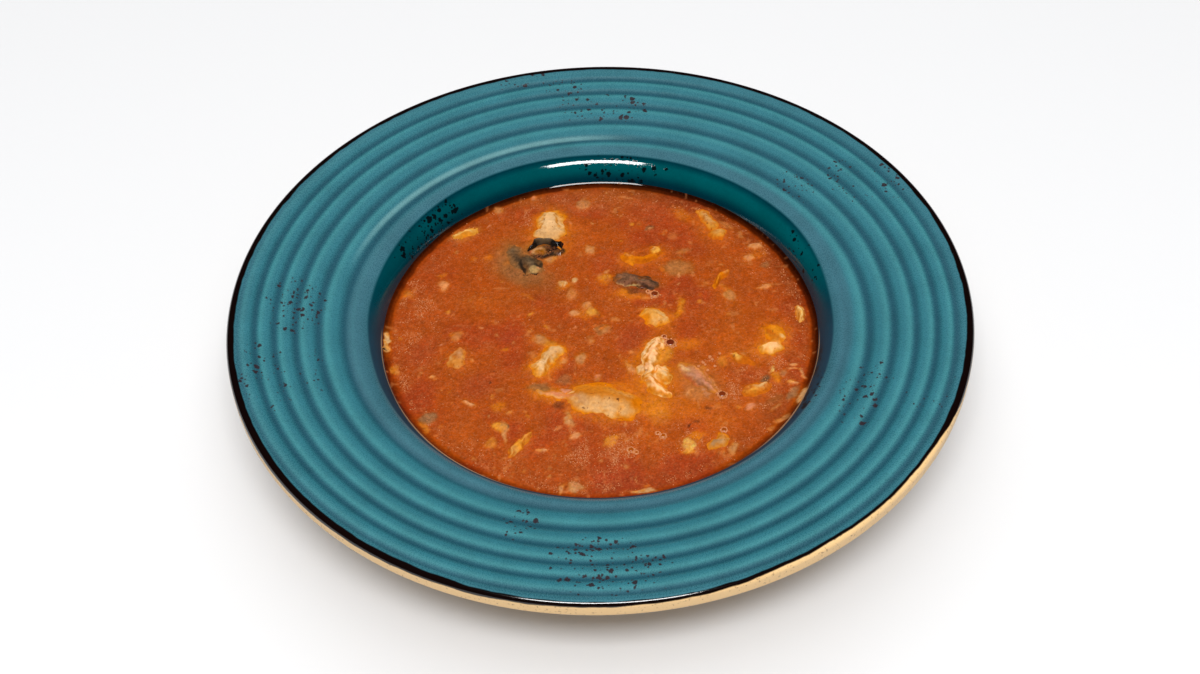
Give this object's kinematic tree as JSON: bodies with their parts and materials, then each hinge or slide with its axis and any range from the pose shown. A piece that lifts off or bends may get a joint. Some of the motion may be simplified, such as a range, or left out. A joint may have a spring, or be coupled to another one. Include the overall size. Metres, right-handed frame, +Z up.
{
  "type": "bowl of fish soup",
  "caption": "Wide-rimmed round soup plate with a spiral-ribbed rim, filled with tomato fish soup in which pieces of fish, fish skin and vegetable float.",
  "frame": {"origin": "centre of the foot ring's underside", "axes": "+Z up out of the plate, -Y towards the viewer of the picture, +X to the viewer's right"},
  "size_m": [0.27, 0.27, 0.046],
  "materials": {
    "glaze": "gloss",
    "broth": "wet gloss",
    "fish_flesh": "moist",
    "fish_skin": "wet gloss",
    "pink_skin": "moist",
    "yellow_piece": "moist",
    "orange_piece": "moist",
    "soft_piece": "moist"
  },
  "bodies": {
    "root": {"plate": "glaze", "soup": "broth", "fish_chunk_back": "fish_flesh", "fish_skin_fold": "fish_skin", "fish_skin_strip": "fish_skin", "fish_chunk_front": "fish_flesh", "fish_flake_ridge": "fish_flesh", "fish_flake_left": "fish_flesh", "fish_flakes_right": "fish_flesh", "fish_skin_shred": "pink_skin", "yellow_piece_left": "yellow_piece", "yellow_piece_back": "yellow_piece", "yellow_piece_right": "yellow_piece", "yellow_sliver": "yellow_piece", "orange_hook": "orange_piece", "orange_curl": "orange_piece", "orange_slice": "orange_piece", "orange_strip": "orange_piece", "cream_lump": "fish_flesh", "soft_piece_left": "soft_piece", "grey_piece_front": "soft_piece"}
  },
  "joints": []
}
